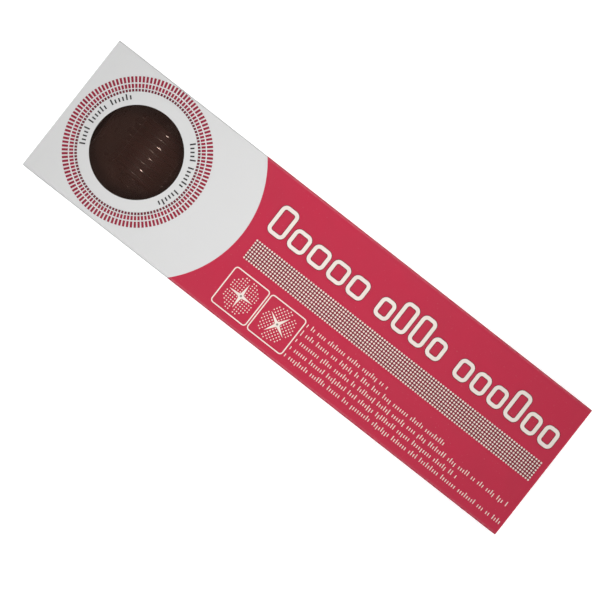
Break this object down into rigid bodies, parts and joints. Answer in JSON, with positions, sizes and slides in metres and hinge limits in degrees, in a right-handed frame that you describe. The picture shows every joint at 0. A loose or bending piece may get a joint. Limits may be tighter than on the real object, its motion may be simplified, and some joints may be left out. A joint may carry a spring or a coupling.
{
  "type": "boxed derma roller",
  "caption": "Slim tuck-end carton with a round window, holding a hinged storage case and a needle roller with a slim handle.",
  "frame": {"origin": "middle of the back panel's outer face, which the carton rests on", "axes": "+X along the carton from the window end to the plain end, +Y towards the upper side panel, +Z out of the front panel"},
  "size_m": [0.19, 0.05, 0.04],
  "materials": {
    "coated_board_front": "coated white folding boxboard with a crimson print, satin",
    "coated_board": "coated white folding boxboard with a crimson print, satin",
    "clear_film": "clear window film",
    "black_plastic": "moulded black plastic, semi-gloss",
    "smoke_plastic": "transparent smoke-brown plastic, polished",
    "steel": "bright stainless steel",
    "drum_plastic": "moulded black plastic",
    "handle_plastic": "polished black plastic",
    "accent_ring": "crimson plastic ring",
    "grip_rubber": "soft matt rubber"
  },
  "bodies": {
    "carton": {"front_panel": "coated_board_front", "back_panel": "coated_board", "upper_side_panel": "coated_board", "lower_side_panel": "coated_board", "glue_flap": "coated_board", "window_film": "clear_film"},
    "window_end_lid": {"window_end_lid": "coated_board"},
    "window_end_tongue": {"window_end_tongue": "coated_board"},
    "window_end_upper_flap": {"window_end_upper_dust_flap": "coated_board"},
    "window_end_lower_flap": {"window_end_lower_dust_flap": "coated_board"},
    "plain_end_lid": {"plain_end_lid": "coated_board"},
    "plain_end_tongue": {"plain_end_tongue": "coated_board"},
    "plain_end_upper_flap": {"plain_end_upper_dust_flap": "coated_board"},
    "plain_end_lower_flap": {"plain_end_lower_dust_flap": "coated_board"},
    "case": {"case_base": "black_plastic", "case_hinge_pins": "steel", "axle_pin": "steel", "head_yoke": "drum_plastic", "handle_top_shell": "handle_plastic", "handle_bottom_shell": "handle_plastic", "grip_inlay": "grip_rubber", "handle_ring": "accent_ring", "end_cap": "handle_plastic"},
    "case_lid": {"case_lid": "smoke_plastic"},
    "drum": {"drum_hub": "drum_plastic", "needle_discs": "steel", "spacer_rings": "drum_plastic", "upper_drum_cap": "drum_plastic", "lower_drum_cap": "drum_plastic"}
  },
  "joints": [
    {"name": "window_end_lid_fold", "type": "hinge", "parent": "carton", "child": "window_end_lid", "pos_m": [-0.095, 0, 0], "axis": [0, -1, 0], "range_deg": [0, 90]},
    {"name": "window_end_tongue_fold", "type": "hinge", "parent": "window_end_lid", "child": "window_end_tongue", "pos_m": [-0.09455, 0, 0.0392], "axis": [0, -1, 0], "range_deg": [0, 27]},
    {"name": "window_end_upper_flap_fold", "type": "hinge", "parent": "carton", "child": "window_end_upper_flap", "pos_m": [-0.09425, 0.025, 0.02], "axis": [0, 0, -1], "range_deg": [0, 81]},
    {"name": "window_end_lower_flap_fold", "type": "hinge", "parent": "carton", "child": "window_end_lower_flap", "pos_m": [-0.09425, -0.025, 0.02], "axis": [0, 0, 1], "range_deg": [0, 81]},
    {"name": "plain_end_lid_fold", "type": "hinge", "parent": "carton", "child": "plain_end_lid", "pos_m": [0.095, 0, 0], "axis": [0, 1, 0], "range_deg": [0, 90]},
    {"name": "plain_end_tongue_fold", "type": "hinge", "parent": "plain_end_lid", "child": "plain_end_tongue", "pos_m": [0.09455, 0, 0.0392], "axis": [0, 1, 0], "range_deg": [0, 27]},
    {"name": "plain_end_upper_flap_fold", "type": "hinge", "parent": "carton", "child": "plain_end_upper_flap", "pos_m": [0.09425, 0.025, 0.02], "axis": [0, 0, 1], "range_deg": [0, 81]},
    {"name": "plain_end_lower_flap_fold", "type": "hinge", "parent": "carton", "child": "plain_end_lower_flap", "pos_m": [0.09425, -0.025, 0.02], "axis": [0, 0, -1], "range_deg": [0, 81]},
    {"name": "case_slide", "type": "slide", "parent": "carton", "child": "case", "axis": [1, 0, 0], "range_m": [-0.005, 0.012]},
    {"name": "case_lid_hinge", "type": "hinge", "parent": "case", "child": "case_lid", "pos_m": [-0.0063, -0.0203, 0.018], "axis": [1, 0, 0], "range_deg": [0, 4]},
    {"name": "drum_spin", "type": "hinge", "parent": "case", "child": "drum", "pos_m": [-0.065, 0.0024, 0.018], "axis": [0, 1, 0], "continuous": true}
  ],
  "couplings": [
    {"joint": "window_end_tongue_fold", "follows": "window_end_lid_fold", "ratio": 0.3},
    {"joint": "window_end_upper_flap_fold", "follows": "window_end_lid_fold", "ratio": 0.9},
    {"joint": "window_end_lower_flap_fold", "follows": "window_end_lid_fold", "ratio": 0.9},
    {"joint": "plain_end_tongue_fold", "follows": "plain_end_lid_fold", "ratio": 0.3},
    {"joint": "plain_end_upper_flap_fold", "follows": "plain_end_lid_fold", "ratio": 0.9},
    {"joint": "plain_end_lower_flap_fold", "follows": "plain_end_lid_fold", "ratio": 0.9}
  ]
}
